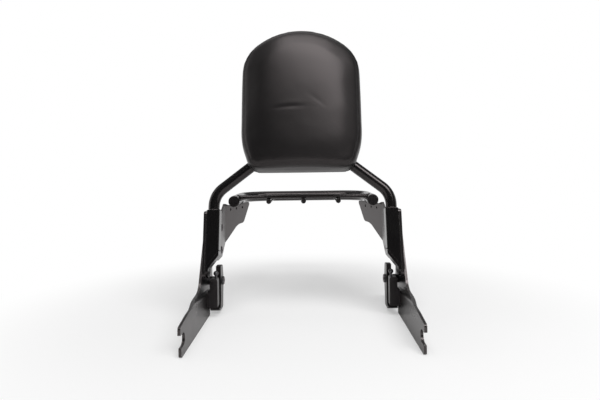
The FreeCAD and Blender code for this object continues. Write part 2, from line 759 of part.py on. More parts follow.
def build():
    both_sides("side_plate", side_plate())
    both_sides("foot_plate", foot_plate())
    both_sides("tube_socket", tube_socket())
    both_sides("end_strap", end_strap())
    parts["upright_tube"] = upright_tube()
    parts["backrest_pad"] = backrest_pad()
    parts["pad_board"] = pad_board()
    parts["pad_carrier_lower"] = pad_carrier(carrier_low_s)
    parts["pad_carrier_upper"] = pad_carrier(carrier_high_s)
    for row, s in (("lower", carrier_low_s), ("upper", carrier_high_s)):
        for side, x in (("left", -pad_screw_half_x), ("right", pad_screw_half_x)):
            parts["pad_screw_" + row + "_" + side] = pad_screw(x, s)
    parts["rack_loop"] = rack_loop()
    both_sides("rack_end_cap", rack_end_cap())
    parts["rack_cross_rod"] = rack_cross_rod()
    for side, x in (("left", -slat_pitch), ("middle", 0.0), ("right", slat_pitch)):
        parts["rack_slat_" + side] = rack_slat(x)
    both_sides("rack_bracket", rack_bracket())
    for row, (y, z) in bolt_places.items():
        both_sides("rack_bolt_" + row, rack_bolt(y, z))
        both_sides("rack_washer_" + row, rack_washer(y, z))
        both_sides("rack_nut_" + row, rack_nut(y, z))
    both_sides("latch_lever", latch_lever())
    both_sides("latch_bush", latch_bush())
    both_sides("latch_pivot_bolt", latch_pivot_bolt())
    both_sides("latch_pivot_nut", latch_pivot_nut())
    both_sides("latch_spring", latch_spring())
    both_sides("latch_block", latch_block())
    both_sides("latch_post", latch_post())
    both_sides("latch_block_screws", block_screws())


build()
os.makedirs("parts", exist_ok=True)
for node, shape in parts.items():
    box = shape.BoundBox
    print(node, len(shape.Solids), shape.isValid(), round(shape.Volume, 1),
          [round(v, 1) for v in (box.XMin, box.XMax, box.YMin, box.YMax, box.ZMin, box.ZMax)])
    shape.exportStep("parts/" + node + ".step")
print(len(parts), "nodes")
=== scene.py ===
import json
import math

import bmesh
import bpy
from mathutils import Matrix, Vector
from mathutils.bvhtree import BVHTree


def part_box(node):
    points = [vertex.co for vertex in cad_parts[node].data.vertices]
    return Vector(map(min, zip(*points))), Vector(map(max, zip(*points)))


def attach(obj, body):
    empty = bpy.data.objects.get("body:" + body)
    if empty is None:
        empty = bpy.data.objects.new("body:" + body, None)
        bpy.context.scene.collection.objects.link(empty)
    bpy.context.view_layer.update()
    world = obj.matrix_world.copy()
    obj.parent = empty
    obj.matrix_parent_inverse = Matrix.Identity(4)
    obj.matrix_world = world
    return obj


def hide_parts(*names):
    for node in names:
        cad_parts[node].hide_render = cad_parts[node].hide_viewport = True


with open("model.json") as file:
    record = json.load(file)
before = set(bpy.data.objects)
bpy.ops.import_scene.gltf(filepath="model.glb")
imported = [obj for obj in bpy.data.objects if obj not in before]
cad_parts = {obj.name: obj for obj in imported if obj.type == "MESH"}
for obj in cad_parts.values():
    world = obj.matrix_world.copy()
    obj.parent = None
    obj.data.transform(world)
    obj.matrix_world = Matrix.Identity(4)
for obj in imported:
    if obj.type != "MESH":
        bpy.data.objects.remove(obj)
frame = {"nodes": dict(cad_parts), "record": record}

bl_info = {
    "name": "Backrest with Luggage Rack",
    "version": (1, 0, 0),
    "blender": (4, 5, 0),
    "location": "3D View > Sidebar > Backrest",
    "description": "Finishes a motorbike backrest with a luggage rack and sets up its studio picture",
    "category": "Object",
}

MM = 0.001
SIDES = ("right", "left")
SIGN = {"right": 1.0, "left": -1.0}

# Places on the frame, in metres, as the solids have them
LEAN = math.radians(12.0)
LEG_BASE_Y = 135.4 * MM
TUBE_R = 9.5 * MM
PIVOT = Vector((150 * MM, 206 * MM, 30 * MM))
SPRING_R = 8.8 * MM
PAD_BACK_N = -13.5 * MM
PAD_FRONT_N = -61.5 * MM
FLOOR_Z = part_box("side_plate_right")[0].z
REARWARD = Vector((0, math.cos(LEAN), -math.sin(LEAN)))

# The pad's outline, in millimetres across and up the lean, as the solid has it
PAD_HALF, PAD_LOW, PAD_HIP, PAD_HIGH = 103.0, 217.0, 268.0, 470.0
PAD_FOOT_IN = 17.0
DOME_R, SHOULDER_R, HIP_R, FOOT_R = 136.0, 64.0, 120.0, 22.0

# How the cover sits on the pad
PAD_HALF_WIDTH = PAD_HALF * MM
PAD_HALF_HEIGHT = (PAD_HIGH - PAD_LOW) / 2 * MM
PAD_MIDDLE_S = (PAD_HIGH + PAD_LOW) / 2 * MM
PAD_LIFT = 1.2 * MM
PAD_WIDTH_FIT = 1.01
SIDE_WALL_FROM = 17 * MM
RELIEF_FROM = 20 * MM
HELD_TO = 12 * MM
PAD_VOXEL = 4.5 * MM
STITCH_PITCH = 4.5 * MM
STAPLE_PITCH = 15 * MM

# The cover as cloth while the foam fills it
COVER_CLOTH = {
    "quality": 6, "mass": 0.3, "tension_stiffness": 12, "compression_stiffness": 12,
    "shear_stiffness": 8, "bending_stiffness": 0.8, "use_pressure": True,
}
BLOW_FRAMES = 20
EVEN_ROUNDS = 40

# Reflections on the black coats and the vinyl are a little warm
WARM = (1.0, 0.9, 0.9, 1.0)

# The camera looks level, and its shift frames the picture
CAMERA_PLACE = Vector((0.011, -0.651, 0.2342))
CAMERA_ROLL = math.radians(-0.75)
CAMERA_SHIFT = (-8.5 / 600, -35.5 / 600)

# Distances from the object over which the floor runs out to white
WHITE_FROM = 0.26
WHITE_BY = 0.62

# Each lamp's name, place, target, width and height, power, and turn about its own axis in degrees
LAMPS = (
    ("lamp_upper_right", (0.4, -0.81, 1.64), (0.02, 0.12, 0.4), (2.2, 0.8), 38, -33.0),
    ("lamp_overhead", (-0.1, 1.0, 2.2), (0, 0.3, 0), (2.4, 2.0), 10, 0.0),
    ("lamp_left", (-1.8, 0.2, 1.0), (0, 0.2, 0.1), (0.5, 1.6), 3, 0.0),
)


# Places in the leaned upright
def leaned(x, n, s):
    """Point of the upright's own frame: x across, n rearward across the lean, s up along the lean."""
    y = LEG_BASE_Y + n * math.cos(LEAN) + s * math.sin(LEAN)
    return Vector((x, y, s * math.cos(LEAN) - n * math.sin(LEAN)))


def upright_coordinates(point):
    """The x, n and s of a point, the inverse of leaned."""
    y = point.y - LEG_BASE_Y
    n = y * math.cos(LEAN) - point.z * math.sin(LEAN)
    return point.x, n, y * math.sin(LEAN) + point.z * math.cos(LEAN)


# Making pieces
def settings():
    """The sizes and colours that the panel shows."""
    return bpy.context.scene.backrest


def finish_mesh(mesh, finish):
    """Give a mesh its one material and smooth shading."""
    mesh.materials.clear()
    mesh.materials.append(finish)
    mesh.shade_smooth()


def linked(name, data):
    """A new object in the scene, of a mesh, a lamp or a camera."""
    thing = bpy.data.objects.new(name, data)
    bpy.context.scene.collection.objects.link(thing)
    return thing


def finish_piece(name, bm, finish, body="frame", replaced=()):
    """Turn a bmesh into a smooth piece that rides on a body."""
    mesh = bpy.data.meshes.new(name)
    bm.to_mesh(mesh)
    bm.free()
    piece = linked(name, mesh)
    finish_mesh(mesh, finish)
    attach(piece, body)
    if replaced:
        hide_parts(*replaced)
    return piece


def merged_copy(node):
    """The solid of a CAD node as a closed bmesh."""
    bm = bmesh.new()
    bm.from_mesh(frame["nodes"][node].data)
    bmesh.ops.remove_doubles(bm, verts=bm.verts, dist=0.002 * MM)
    return bm


def rounded_copy(node, name, finish, radius, body="frame"):
    """A CAD node's own shape with its sharp edges rounded, as a coat leaves them."""
    bm = merged_copy(node)
    bmesh.ops.dissolve_limit(bm, angle_limit=math.radians(0.6), verts=bm.verts, edges=bm.edges)
    piece = finish_piece(name, bm, finish, body, (node,))
    edges = piece.modifiers.new("rounded_edges", "BEVEL")
    edges.width = radius
    edges.segments = 2
    edges.limit_method = "ANGLE"
    edges.angle_limit = math.radians(32)
    edges.use_clamp_overlap = True
    flats = piece.modifiers.new("flat_faces", "WEIGHTED_NORMAL")
    flats.mode = "FACE_AREA"
    flats.weight = 100
    flats.keep_sharp = True


def places_along(path, radii):
    """A ring's place at each point of a path, as matrices that turn least from one to the next."""
    places = []
    ahead = (path[1] - path[0]).normalized()
    side = ahead.orthogonal().normalized()
    for i, point in enumerate(path):
        turned = (path[min(i + 1, len(path) - 1)] - path[max(i - 1, 0)]).normalized()
        side = ahead.rotation_difference(turned) @ side
        ahead = turned
        turn = Matrix((side, ahead.cross(side), ahead)).transposed().to_4x4()
        places.append(Matrix.Translation(point) @ turn @ Matrix.Scale(radii[i], 4))
    return places


def sweep(bm, path, radii, sides=8):
    """Add a round bar through the points of a path, closed at both ends."""
    places = places_along(path, radii)
    ring = bmesh.ops.create_circle(bm, segments=sides, radius=1.0, matrix=places[0])["verts"]
    first = list(dict.fromkeys(edge for vertex in ring for edge in vertex.link_edges))
    edges = first
    for here, following in zip(places, places[1:]):
        made = bmesh.ops.extrude_edge_only(bm, edges=edges)["geom"]
        ring = [part for part in made if isinstance(part, bmesh.types.BMVert)]
        edges = [part for part in made if isinstance(part, bmesh.types.BMEdge) and part.is_boundary]
        bmesh.ops.transform(bm, matrix=following @ here.inverted(), verts=ring)
    bmesh.ops.edgeloop_fill(bm, edges=first)
    bmesh.ops.edgeloop_fill(bm, edges=edges)


def even_points(path, step):
    """Points a step apart along a path."""
    points = [path[0].copy()]
    left = step
    for start, end in zip(path, path[1:]):
        run = (end - start).length
        done = 0.0
        while run - done >= left:
            done += left
            points.append(start.lerp(end, done / run))
            left = step
        left -= run - done
    return points


def bead(bm, path, size=1.5 * MM):
    """Add a weld bead along a path: small overlapping ripples, run in at both ends."""
    points = even_points(path, 0.6 * MM)
    count = len(points)
    radii = []
    for k in range(count):
        ripple = 1 + 0.09 * math.sin(1.5 * k) + 0.06 * math.sin(0.31 * k + 1.0)
        radii.append(size * ripple * min(1.0, 0.4 + 0.3 * k, 0.4 + 0.3 * (count - 1 - k)))
    sweep(bm, points, radii)


def both_halves(bm):
    """Mirror what has been made on the right to the left and turn every face outwards."""
    everything = bm.verts[:] + bm.edges[:] + bm.faces[:]
    bmesh.ops.mirror(bm, geom=everything, axis="X", merge_dist=0.0)
    bmesh.ops.recalc_face_normals(bm, faces=bm.faces)


# Shader building
def add_node(tree, kind, **values):
    """A shader node with its attributes and input defaults set by name."""
    made = tree.nodes.new(kind)
    for key, value in values.items():
        if hasattr(made, key):
            setattr(made, key, value)
        else:
            made.inputs[key.replace("_", " ")].default_value = value
    return made


def new_group(name, inputs, outputs):
    """An empty shader node group with named number inputs and typed outputs."""
    group = bpy.data.node_groups.new(name, "ShaderNodeTree")
    for label, default in inputs:
        socket = group.interface.new_socket(name=label, in_out="INPUT", socket_type="NodeSocketFloat")
        socket.default_value = default
    for label, kind in outputs:
        group.interface.new_socket(name=label, in_out="OUTPUT", socket_type=kind)
    return group, group.nodes.new("NodeGroupInput"), group.nodes.new("NodeGroupOutput")


def place_group(tree, group, **values):
    """A shader node group placed in a material, with its inputs set by name."""
    made = tree.nodes.new("ShaderNodeGroup")
    made.node_tree = group
    for key, value in values.items():
        made.inputs[key.replace("_", " ")].default_value = value
    return made


def scaled_noise(tree, coordinates, scale_socket, detail):
    """Noise on Object coordinates whose scale comes from a socket."""
    made = add_node(tree, "ShaderNodeTexNoise", Detail=detail, Roughness=0.5)
    tree.links.new(coordinates.outputs["Object"], made.inputs["Vector"])
    tree.links.new(scale_socket, made.inputs["Scale"])
    return made


def remap(tree, value, low, high):
    """Spread a 0 to 1 value between two levels; each level is a number or a socket."""
    made = add_node(tree, "ShaderNodeMapRange")
    tree.links.new(value, made.inputs["Value"])
    for key, level in (("To Min", low), ("To Max", high)):
        if isinstance(level, (int, float)):
            made.inputs[key].default_value = level
        else:
            tree.links.new(level, made.inputs[key])
    return made.outputs["Result"]


def make_coat_group():
    """Sprayed coat: orange peel height, cloudy gloss and a mask of fine dust."""
    group, entry, leave = new_group(
        "sprayed_coat",
        [("Peel Scale", 700.0), ("Cloud Scale", 30.0), ("Gloss Low", 0.12), ("Gloss High", 0.2)],
        [("Height", "NodeSocketFloat"), ("Roughness", "NodeSocketFloat"), ("Dust", "NodeSocketFloat")],
    )
    place = group.nodes.new("ShaderNodeTexCoord")
    peel = scaled_noise(group, place, entry.outputs["Peel Scale"], 1.0)
    cloud = scaled_noise(group, place, entry.outputs["Cloud Scale"], 4.0)
    gloss = remap(group, cloud.outputs["Fac"], entry.outputs["Gloss Low"], entry.outputs["Gloss High"])
    specks = add_node(group, "ShaderNodeTexVoronoi", Scale=260.0)
    group.links.new(place.outputs["Object"], specks.inputs["Vector"])
    dust = add_node(group, "ShaderNodeMapRange")
    dust.inputs["From Min"].default_value = 0.1
    dust.inputs["From Max"].default_value = 0.02
    group.links.new(specks.outputs["Distance"], dust.inputs["Value"])
    group.links.new(peel.outputs["Fac"], leave.inputs["Height"])
    group.links.new(gloss, leave.inputs["Roughness"])
    group.links.new(dust.outputs["Result"], leave.inputs["Dust"])
    return group


def make_grain_group():
    """Embossed grain: rounded cells with fine pores, and broad soft wrinkles."""
    group, entry, leave = new_group(
        "embossed_grain",
        [("Cell Scale", 900.0), ("Fold Scale", 12.0), ("Gloss Low", 0.36), ("Gloss High", 0.46)],
        [("Height", "NodeSocketFloat"), ("Folds", "NodeSocketFloat"), ("Roughness", "NodeSocketFloat")],
    )
    place = group.nodes.new("ShaderNodeTexCoord")
    cells = add_node(group, "ShaderNodeTexVoronoi", feature="SMOOTH_F1", Smoothness=0.4)
    group.links.new(place.outputs["Object"], cells.inputs["Vector"])
    group.links.new(entry.outputs["Cell Scale"], cells.inputs["Scale"])
    folds = scaled_noise(group, place, entry.outputs["Fold Scale"], 2.0)
    rough = remap(group, folds.outputs["Fac"], entry.outputs["Gloss Low"], entry.outputs["Gloss High"])
    group.links.new(cells.outputs["Distance"], leave.inputs["Height"])
    group.links.new(folds.outputs["Fac"], leave.inputs["Folds"])
    group.links.new(rough, leave.inputs["Roughness"])
    return group


def new_material(name):
    """The node tree and the shader of a new material."""
    made = bpy.data.materials.new(name)
    made.use_nodes = True
    return made.node_tree, made.node_tree.nodes["Principled BSDF"]


def bump_from(tree, height, shader, distance, strength, before=None):
    """Raise a shader's surface by a height socket, on top of an earlier bump."""
    bump = add_node(tree, "ShaderNodeBump", Distance=distance, Strength=strength)
    tree.links.new(height, bump.inputs["Height"])
    if before is not None:
        tree.links.new(before.outputs["Normal"], bump.inputs["Normal"])
    tree.links.new(bump.outputs["Normal"], shader.inputs["Normal"])


def coated_metal(name, colour, gloss_low, gloss_high, metallic=0.0, scale=700.0, shine=0.6):
    """Black coat or plating with orange peel, cloudy gloss and dust specks."""
    tree, shader = new_material(name)
    shader.inputs["Metallic"].default_value = metallic
    shader.inputs["Specular IOR Level"].default_value = shine
    shader.inputs["Specular Tint"].default_value = WARM
    coat = place_group(tree, bpy.data.node_groups["sprayed_coat"], Peel_Scale=scale,
                       Gloss_Low=gloss_low, Gloss_High=gloss_high)
    tint = add_node(tree, "ShaderNodeMix", data_type="RGBA")
    mixed = [s for s in tint.outputs if s.type == "RGBA"][0]
    fades = [s for s in tint.inputs if s.type == "RGBA"]
    fades[0].default_value = (*colour, 1)
    fades[1].default_value = (*[min(1.0, 1.6 * c + 0.01) for c in colour], 1)
    tree.links.new(coat.outputs["Dust"], tint.inputs["Factor"])
    tree.links.new(mixed, shader.inputs["Base Color"])
    tree.links.new(coat.outputs["Roughness"], shader.inputs["Roughness"])
    bump_from(tree, coat.outputs["Height"], shader, 0.03 * MM, 0.6)


def grained(name, colour, gloss_low, gloss_high, cell_scale, cell_depth, fold_depth):
    """Vinyl or moulded plastic with an embossed grain."""
    tree, shader = new_material(name)
    shader.inputs["Base Color"].default_value = (*colour, 1)
    shader.inputs["Specular Tint"].default_value = WARM
    grain = place_group(tree, bpy.data.node_groups["embossed_grain"], Cell_Scale=cell_scale,
                        Gloss_Low=gloss_low, Gloss_High=gloss_high)
    folds = add_node(tree, "ShaderNodeBump", Distance=fold_depth, Strength=1.0)
    tree.links.new(grain.outputs["Folds"], folds.inputs["Height"])
    bump_from(tree, grain.outputs["Height"], shader, cell_depth, 0.6, folds)
    tree.links.new(grain.outputs["Roughness"], shader.inputs["Roughness"])


def plywood(name):
    """Birch plywood with long grain up the board."""
    tree, shader = new_material(name)
    place = tree.nodes.new("ShaderNodeTexCoord")
    stretch = add_node(tree, "ShaderNodeMapping")
    stretch.inputs["Scale"].default_value = (90.0, 90.0, 6.0)
    tree.links.new(place.outputs["Object"], stretch.inputs["Vector"])
    grain = add_node(tree, "ShaderNodeTexNoise", Scale=4.0, Detail=6.0, Distortion=0.6)
    tree.links.new(stretch.outputs["Vector"], grain.inputs["Vector"])
    ramp = tree.nodes.new("ShaderNodeValToRGB")
    ramp.color_ramp.elements[0].color = (0.26, 0.16, 0.085, 1)
    ramp.color_ramp.elements[1].color = (0.46, 0.32, 0.19, 1)
    tree.links.new(grain.outputs["Fac"], ramp.inputs["Fac"])
    tree.links.new(ramp.outputs["Color"], shader.inputs["Base Color"])
    shader.inputs["Roughness"].default_value = 0.6
    bump_from(tree, grain.outputs["Fac"], shader, 0.1 * MM, 0.5)


def material(name):
    """A finish that has been made, by its name."""
    return bpy.data.materials[name]


class BACKREST_PG_settings(bpy.types.PropertyGroup):
    """Sizes and colours that a user would change"""

    coat_colour: bpy.props.FloatVectorProperty(
        name="Coat colour", description="Colour of the gloss coat on plates and tubes",
        default=(0.004, 0.004, 0.0042), min=0, max=1, subtype="COLOR")
    vinyl_colour: bpy.props.FloatVectorProperty(
        name="Vinyl colour", description="Colour of the pad's cover",
        default=(0.004, 0.004, 0.0042), min=0, max=1, subtype="COLOR")
    edge_radius: bpy.props.FloatProperty(
        name="Edge radius", description="Radius that the coat leaves on plate edges",
        default=0.5 * MM, min=0.0, unit="LENGTH")
    pad_pressure: bpy.props.FloatProperty(
        name="Pad pressure", description="How hard the foam fills its cover",
        default=4.0, min=0.0)
    pad_swell: bpy.props.FloatProperty(
        name="Pad swell", description="Furthest that the cover may rise from the cut foam",
        default=5.0 * MM, min=0.0, unit="LENGTH")
    pad_crown: bpy.props.FloatProperty(
        name="Pad crown", description="How far the foam is built up in the middle of the pad",
        default=7.0 * MM, min=0.0, unit="LENGTH")
    pad_height_fit: bpy.props.FloatProperty(
        name="Pad height fit", description="Share that the tight cover draws the foam together in height",
        default=0.966, min=0.9, max=1.0)
    seam_inset: bpy.props.FloatProperty(
        name="Seam inset", description="Distance of the sewn seam from the pad's outline",
        default=8.0 * MM, min=0.0, unit="LENGTH")
    seam_depth: bpy.props.FloatProperty(
        name="Seam depth", description="Depth of the groove that the seam draws in",
        default=0.7 * MM, min=0.0, unit="LENGTH")
    floor_colour: bpy.props.FloatVectorProperty(
        name="Floor colour", description="Colour of the studio floor",
        default=(0.88, 0.88, 0.88), min=0, max=1, subtype="COLOR")
    lens: bpy.props.FloatProperty(
        name="Lens", description="Focal length of the camera in millimetres",
        default=28.88, min=1.0)


class BACKREST_OT_finishes(bpy.types.Operator):
    """Make the finishes and give each solid of the frame its own"""

    bl_idname = "backrest.finishes"
    bl_label = "Finishes"

    def execute(self, context):
        values = settings()
        make_coat_group()
        make_grain_group()
        coated_metal("gloss_black_coat", values.coat_colour, 0.18, 0.26, shine=0.5)
        coated_metal("satin_plate_coat", values.coat_colour, 0.24, 0.34, shine=0.9)
        coated_metal("latch_coat", (0.006, 0.006, 0.0062), 0.28, 0.36)
        coated_metal("black_zinc", (0.10, 0.10, 0.105), 0.3, 0.42, metallic=0.8, scale=1500.0)
        coated_metal("spring_wire", (0.16, 0.16, 0.165), 0.25, 0.35, metallic=1.0, scale=1500.0)
        coated_metal("staple_wire", (0.45, 0.44, 0.42), 0.25, 0.35, metallic=1.0, scale=1500.0)
        grained("black_thread", (0.012, 0.012, 0.013), 0.6, 0.7, 2600.0, 0.05 * MM, 0.05 * MM)
        grained("cover_vinyl", values.vinyl_colour, 0.36, 0.46, 750.0, 0.1 * MM, 1.2 * MM)
        grained("moulded_black", (0.006, 0.006, 0.0065), 0.32, 0.42, 1600.0, 0.03 * MM, 0.1 * MM)
        plywood("plywood")
        by_slot = {
            "plate_metal": "gloss_black_coat", "tube_metal": "gloss_black_coat",
            "latch_metal": "latch_coat", "black_paint": "latch_coat",
            "fastener_metal": "black_zinc", "spring_steel": "spring_wire",
            "black_plastic": "moulded_black", "vinyl": "cover_vinyl", "board": "plywood",
        }
        for part in frame["record"]["subparts"]:
            mesh = frame["nodes"][part["node"]].data
            mesh.materials.clear()
            mesh.materials.append(material(by_slot[part["material_slot"]]))
        return {"FINISHED"}


class BACKREST_OT_plates(bpy.types.Operator):
    """Round the edges of the plates, sockets, straps, brackets and levers"""

    bl_idname = "backrest.plates"
    bl_label = "Plates"

    def execute(self, context):
        radius = settings().edge_radius
        coats = {"side_plate": "satin_plate_coat", "foot_plate": "satin_plate_coat",
                 "rack_bracket": "satin_plate_coat", "tube_socket": "gloss_black_coat",
                 "end_strap": "gloss_black_coat"}
        for side in SIDES:
            for stem, coat in coats.items():
                name = stem + "_coated_" + side
                rounded_copy(stem + "_" + side, name, material(coat), radius)
            rounded_copy("latch_lever_" + side, "latch_lever_coated_" + side, material("latch_coat"),
                         radius, "lever_" + side)
            rounded_copy("latch_block_" + side, "latch_block_moulded_" + side, material("moulded_black"),
                         1.2 * radius)
        return {"FINISHED"}


class BACKREST_OT_fasteners(bpy.types.Operator):
    """Soften the edges of bolts, nuts, washers, posts and caps, and wind the latch springs"""

    bl_idname = "backrest.fasteners"
    bl_label = "Fasteners"

    def execute(self, context):
        radius = 0.3 * MM
        parts = ("rack_bolt", "rack_nut", "rack_washer")
        stems = [part + "_" + row for row in ("upper", "lower") for part in parts]
        stems += ["latch_pivot_bolt", "latch_pivot_nut", "latch_post"]
        for side in SIDES:
            for stem in stems:
                node = stem + "_" + side
                rounded_copy(node, node + "_finished", material("black_zinc"), radius)
            rounded_copy("rack_end_cap_" + side, "rack_end_cap_moulded_" + side, material("moulded_black"),
                         radius)
            self.spring(side)
        return {"FINISHED"}

    def spring(self, side):
        """Torsion spring of round wire, wound smoothly where the solid's is drawn in straight runs."""
        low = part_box("latch_spring_right")[0]
        wire = 1.0 * MM
        turns, pitch, points = 1.75, 2.4 * MM, 40
        first_x = low.x + wire
        path = [Vector((first_x, PIVOT.y - SPRING_R, PIVOT.z + up * MM)) for up in (16, 8)]
        for k in range(round(turns * points) + 1):
            angle = 2 * math.pi * k / points
            path.append(Vector((first_x + pitch * k / points, PIVOT.y - SPRING_R * math.cos(angle),
                                PIVOT.z - SPRING_R * math.sin(angle))))
        end = path[-1]
        path += [Vector((end.x, y, end.z)) for y in (PIVOT.y - 20 * MM, low.y)]
        bm = bmesh.new()
        sweep(bm, [Vector((SIGN[side] * p.x, p.y, p.z)) for p in path], [wire] * len(path), 10)
        bmesh.ops.recalc_face_normals(bm, faces=bm.faces)
        finish_piece("latch_spring_wound_" + side, bm, material("spring_wire"), "frame",
                     ("latch_spring_" + side,))


class BACKREST_OT_welds(bpy.types.Operator):
    """Lay the weld beads on the frame and the rack, under the coat"""

    bl_idname = "backrest.welds"
    bl_label = "Welds"

    def execute(self, context):
        bm = bmesh.new()
        self.sockets(bm)
        self.carriers(bm)
        self.bracket(bm)
        both_halves(bm)
        finish_piece("frame_weld_beads", bm, material("gloss_black_coat"))
        bm = bmesh.new()
        self.rack(bm)
        both_halves(bm)
        finish_piece("rack_weld_beads", bm, material("gloss_black_coat"))
        return {"FINISHED"}

    def sockets(self, bm):
        """Socket and strap on the foot plate, tube in the socket, side plate on the foot plate."""
        foot_in, foot_out = (corner.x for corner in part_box("foot_plate_right"))
        leg_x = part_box("upright_tube")[1].x - TUBE_R
        mitre_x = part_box("tube_socket_right")[0].x
        edge_x = foot_out + 0.3 * MM
        collar_r, collar_s = 10.6 * MM, 161.8 * MM
        collar = [math.radians(a) for a in range(-115, 116, 5)]
        bead(bm, [leaned(foot_in - 0.2 * MM, 11.8 * MM, s * MM) for s in (54, 157)])
        bead(bm, [leaned(foot_in + 0.8 * MM, -9.6 * MM, s * MM) for s in (56, 156)])
        path = [leaned(leg_x - collar_r * math.cos(a), collar_r * math.sin(a), collar_s) for a in collar]
        bead(bm, path, 1.3 * MM)
        bead(bm, [leaned(mitre_x + 0.3 * MM, n * MM, 93.9 * MM) for n in (-10.5, 10.5)], 1.2 * MM)
        bead(bm, [Vector((edge_x, y * MM, z * MM)) for y, z in ((142, 60), (178.5, 125))])

    def carriers(self, bm):
        """Pad carriers across the legs."""
        for s in (300, 390):
            for x in (66.4, 73.6):
                bead(bm, [leaned(x * MM, -8.9 * MM, (s + end) * MM) for end in (-11, 11)], 1.2 * MM)

    def bracket(self, bm):
        """Both faces of the bracket's panel under the rack's side tube."""
        tube_x, tube_z, tube_r = rack_tube()
        fold_y, panel_run, thickness = 309 * MM, 59 * MM, 4 * MM
        inner_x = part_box("foot_plate_right")[0].x - thickness
        slope = (inner_x + thickness - tube_x) / panel_run
        half, steps = 6.6, 24
        for off, out in ((0.0, -0.5 * MM), (4.25 * MM, 0.5 * MM)):
            path = []
            for k in range(steps + 1):
                across = (half - 2 * half * k / steps) * MM
                y = fold_y + (inner_x + off - tube_x - across) / slope
                below = math.sqrt((tube_r + 0.3 * MM) ** 2 - across ** 2)
                path.append(Vector((tube_x + across + out, y, tube_z - below)))
            bead(bm, path, 1.3 * MM)

    def rack(self, bm):
        """Cross rod in the side tubes, slats on the cross rod and the rear tube."""
        tube_x, tube_z, tube_r = rack_tube()
        rear_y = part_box("rack_loop")[1].y - tube_r
        low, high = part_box("rack_cross_rod")
        rod_y, rod_z, rod_r = (low.y + high.y) / 2, (low.z + high.z) / 2, (high.z - low.z) / 2

        def tube_face(z):
            return math.sqrt(max((tube_r + 0.3 * MM) ** 2 - (z - tube_z) ** 2, 0.0))

        around = bar_ring(rod_y, rod_z, rod_r + 0.4 * MM)
        bead(bm, [Vector((tube_x - tube_face(z), y, z)) for y, z in around], 1.1 * MM)
        for node in ("rack_slat_right", "rack_slat_middle"):
            low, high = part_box(node)
            slat_x, slat_z, slat_r = (low.x + high.x) / 2, (low.z + high.z) / 2, (high.z - low.z) / 2
            around = bar_ring(slat_x, slat_z, slat_r + 0.3 * MM)
            bead(bm, [Vector((x, rear_y - tube_face(z), z)) for x, z in around], 1.1 * MM)
            for y in (rod_y - 2.9 * MM, rod_y + 2.9 * MM):
                z = slat_z + slat_r - 0.2 * MM
                bead(bm, [Vector((slat_x + side * 3.2 * MM, y, z)) for side in (-1, 1)], 1.1 * MM)


def rack_tube():
    """Centre line's x and z and the radius of the rack's right side tube."""
    low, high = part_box("rack_loop")
    radius = (high.z - low.z) / 2
    return high.x - radius, (low.z + high.z) / 2, radius


def bar_ring(across, up, radius):
    """Places round the end of a bar, a little past one turn so that the bead closes."""
    turns = [2 * math.pi * k / 36 for k in range(38)]
    return [(across + radius * math.cos(turn), up + radius * math.sin(turn)) for turn in turns]


# The pad
def pad_corners():
    """Corners (x, s, radius) of the pad's outline in millimetres, as the solid has them."""
    slope = math.asin((PAD_HALF - SHOULDER_R) / (DOME_R - SHOULDER_R))
    apex = PAD_HIGH + DOME_R * (1 / math.cos(slope) - 1)
    side = apex - PAD_HALF * math.tan(slope)
    foot = (PAD_HALF - PAD_FOOT_IN, PAD_LOW, FOOT_R)
    right = [foot, (PAD_HALF, PAD_HIP, HIP_R), (PAD_HALF, side, SHOULDER_R)]
    left = [(-x, s, r) for x, s, r in reversed(right)]
    return right + [(0.0, apex, DOME_R)] + left


def rounded_outline(corners, steps=12):
    """Points along a closed outline whose corners (x, s, radius) are rounded."""
    points = []
    count = len(corners)
    for i, (x, s, radius) in enumerate(corners):
        here = Vector((x, s))
        back = (Vector(corners[i - 1][:2]) - here).normalized()
        ahead = (Vector(corners[(i + 1) % count][:2]) - here).normalized()
        half = back.angle(ahead) / 2
        centre = here + (back + ahead).normalized() * radius / math.sin(half)
        first = here + back * radius / math.tan(half) - centre
        last = here + ahead * radius / math.tan(half) - centre
        for k in range(steps + 1):
            spoke = first.normalized().slerp(last.normalized(), k / steps) * radius
            points.append((centre + spoke) * MM)
    return points


def inset_outline(points, distance):
    """The outline moved inwards by a distance, without its doubled points."""
    single = [p for p, q in zip(points, points[1:] + points[:1]) if (q - p).length > 0.05 * MM]
    moved = []
    for i, point in enumerate(single):
        along = (single[(i + 1) % len(single)] - single[i - 1]).normalized()
        moved.append(point + Vector((-along.y, along.x)) * distance)
    return moved


def nearest_on(points, place):
    """The point of a closed outline that is nearest to a place."""
    best = points[0]
    for a, b in zip(points, points[1:] + points[:1]):
        run = b - a
        if run.length_squared < 1e-14:
            continue
        share = max(0.0, min(1.0, (place - a).dot(run) / run.length_squared))
        there = a + run * share
        if (there - place).length < (best - place).length:
            best = there
    return best


def true_sides(mesh):
    """Draw the side wall of the voxel mesh onto the pad's outline."""
    outline = rounded_outline(pad_corners(), 24)
    for vertex in mesh.vertices:
        x, n, s = upright_coordinates(vertex.co)
        if n < PAD_FRONT_N + SIDE_WALL_FROM:
            continue
        here = Vector((x, s))
        there = nearest_on(outline, here)
        share = min(1.0, max(0.0, 1.5 - (there - here).length / (3 * MM)))
        here = here.lerp(there, share)
        vertex.co = leaned(here.x, n, here.y)


def dent(distance, width):
    """Bell-shaped share that falls from 1 to 0 over a width."""
    return math.exp(-(distance / width) ** 2)


